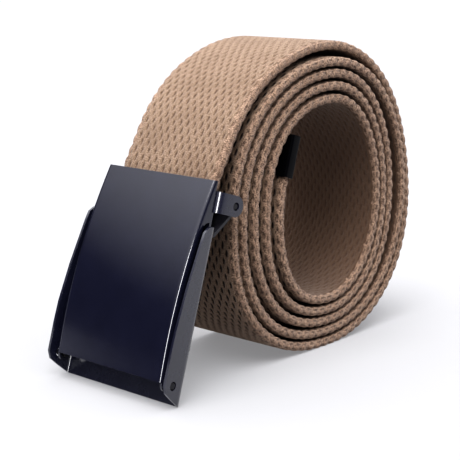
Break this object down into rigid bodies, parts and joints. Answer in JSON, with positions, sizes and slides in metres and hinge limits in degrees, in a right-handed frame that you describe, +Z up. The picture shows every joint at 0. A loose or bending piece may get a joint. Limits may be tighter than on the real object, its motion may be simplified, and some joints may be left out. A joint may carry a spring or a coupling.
{
  "type": "canvas web belt",
  "caption": "Woven canvas belt rolled into a coil and standing on its edge turn, with a flip-top metal clasp buckle on the outer end and a metal tip on the inner end.",
  "frame": {"origin": "on the floor, in the middle of the flat strip that the coil rests on, halfway across the web's width", "axes": "+Z up, +Y across the web's width along the coil's axis, and the buckle hangs at the -X side"},
  "size_m": [0.1268, 0.049, 0.0974],
  "materials": {
    "web": "woven canvas",
    "tip": "gloss black",
    "frame": "satin blue-black",
    "cover": "gloss blue-black",
    "lever": "satin blue-black",
    "pins": "darkened steel"
  },
  "bodies": {
    "belt": {"web_strap": "web", "belt_tip": "tip", "buckle_frame": "frame", "clamp_pin": "pins", "cover_rivet_near": "pins", "cover_rivet_far": "pins"},
    "cover": {"buckle_cover": "cover"},
    "clamp": {"clamp_lever": "lever"}
  },
  "joints": [
    {"name": "cover_flip", "type": "hinge", "parent": "belt", "child": "cover", "pos_m": [-0.07827, 0, 0.00709], "axis": [0, -1, 0], "range_deg": [0, 100]},
    {"name": "clamp_swing", "type": "hinge", "parent": "belt", "child": "clamp", "pos_m": [-0.05145, 0, 0.05355], "axis": [0, -1, 0], "range_deg": [0, 48]}
  ]
}
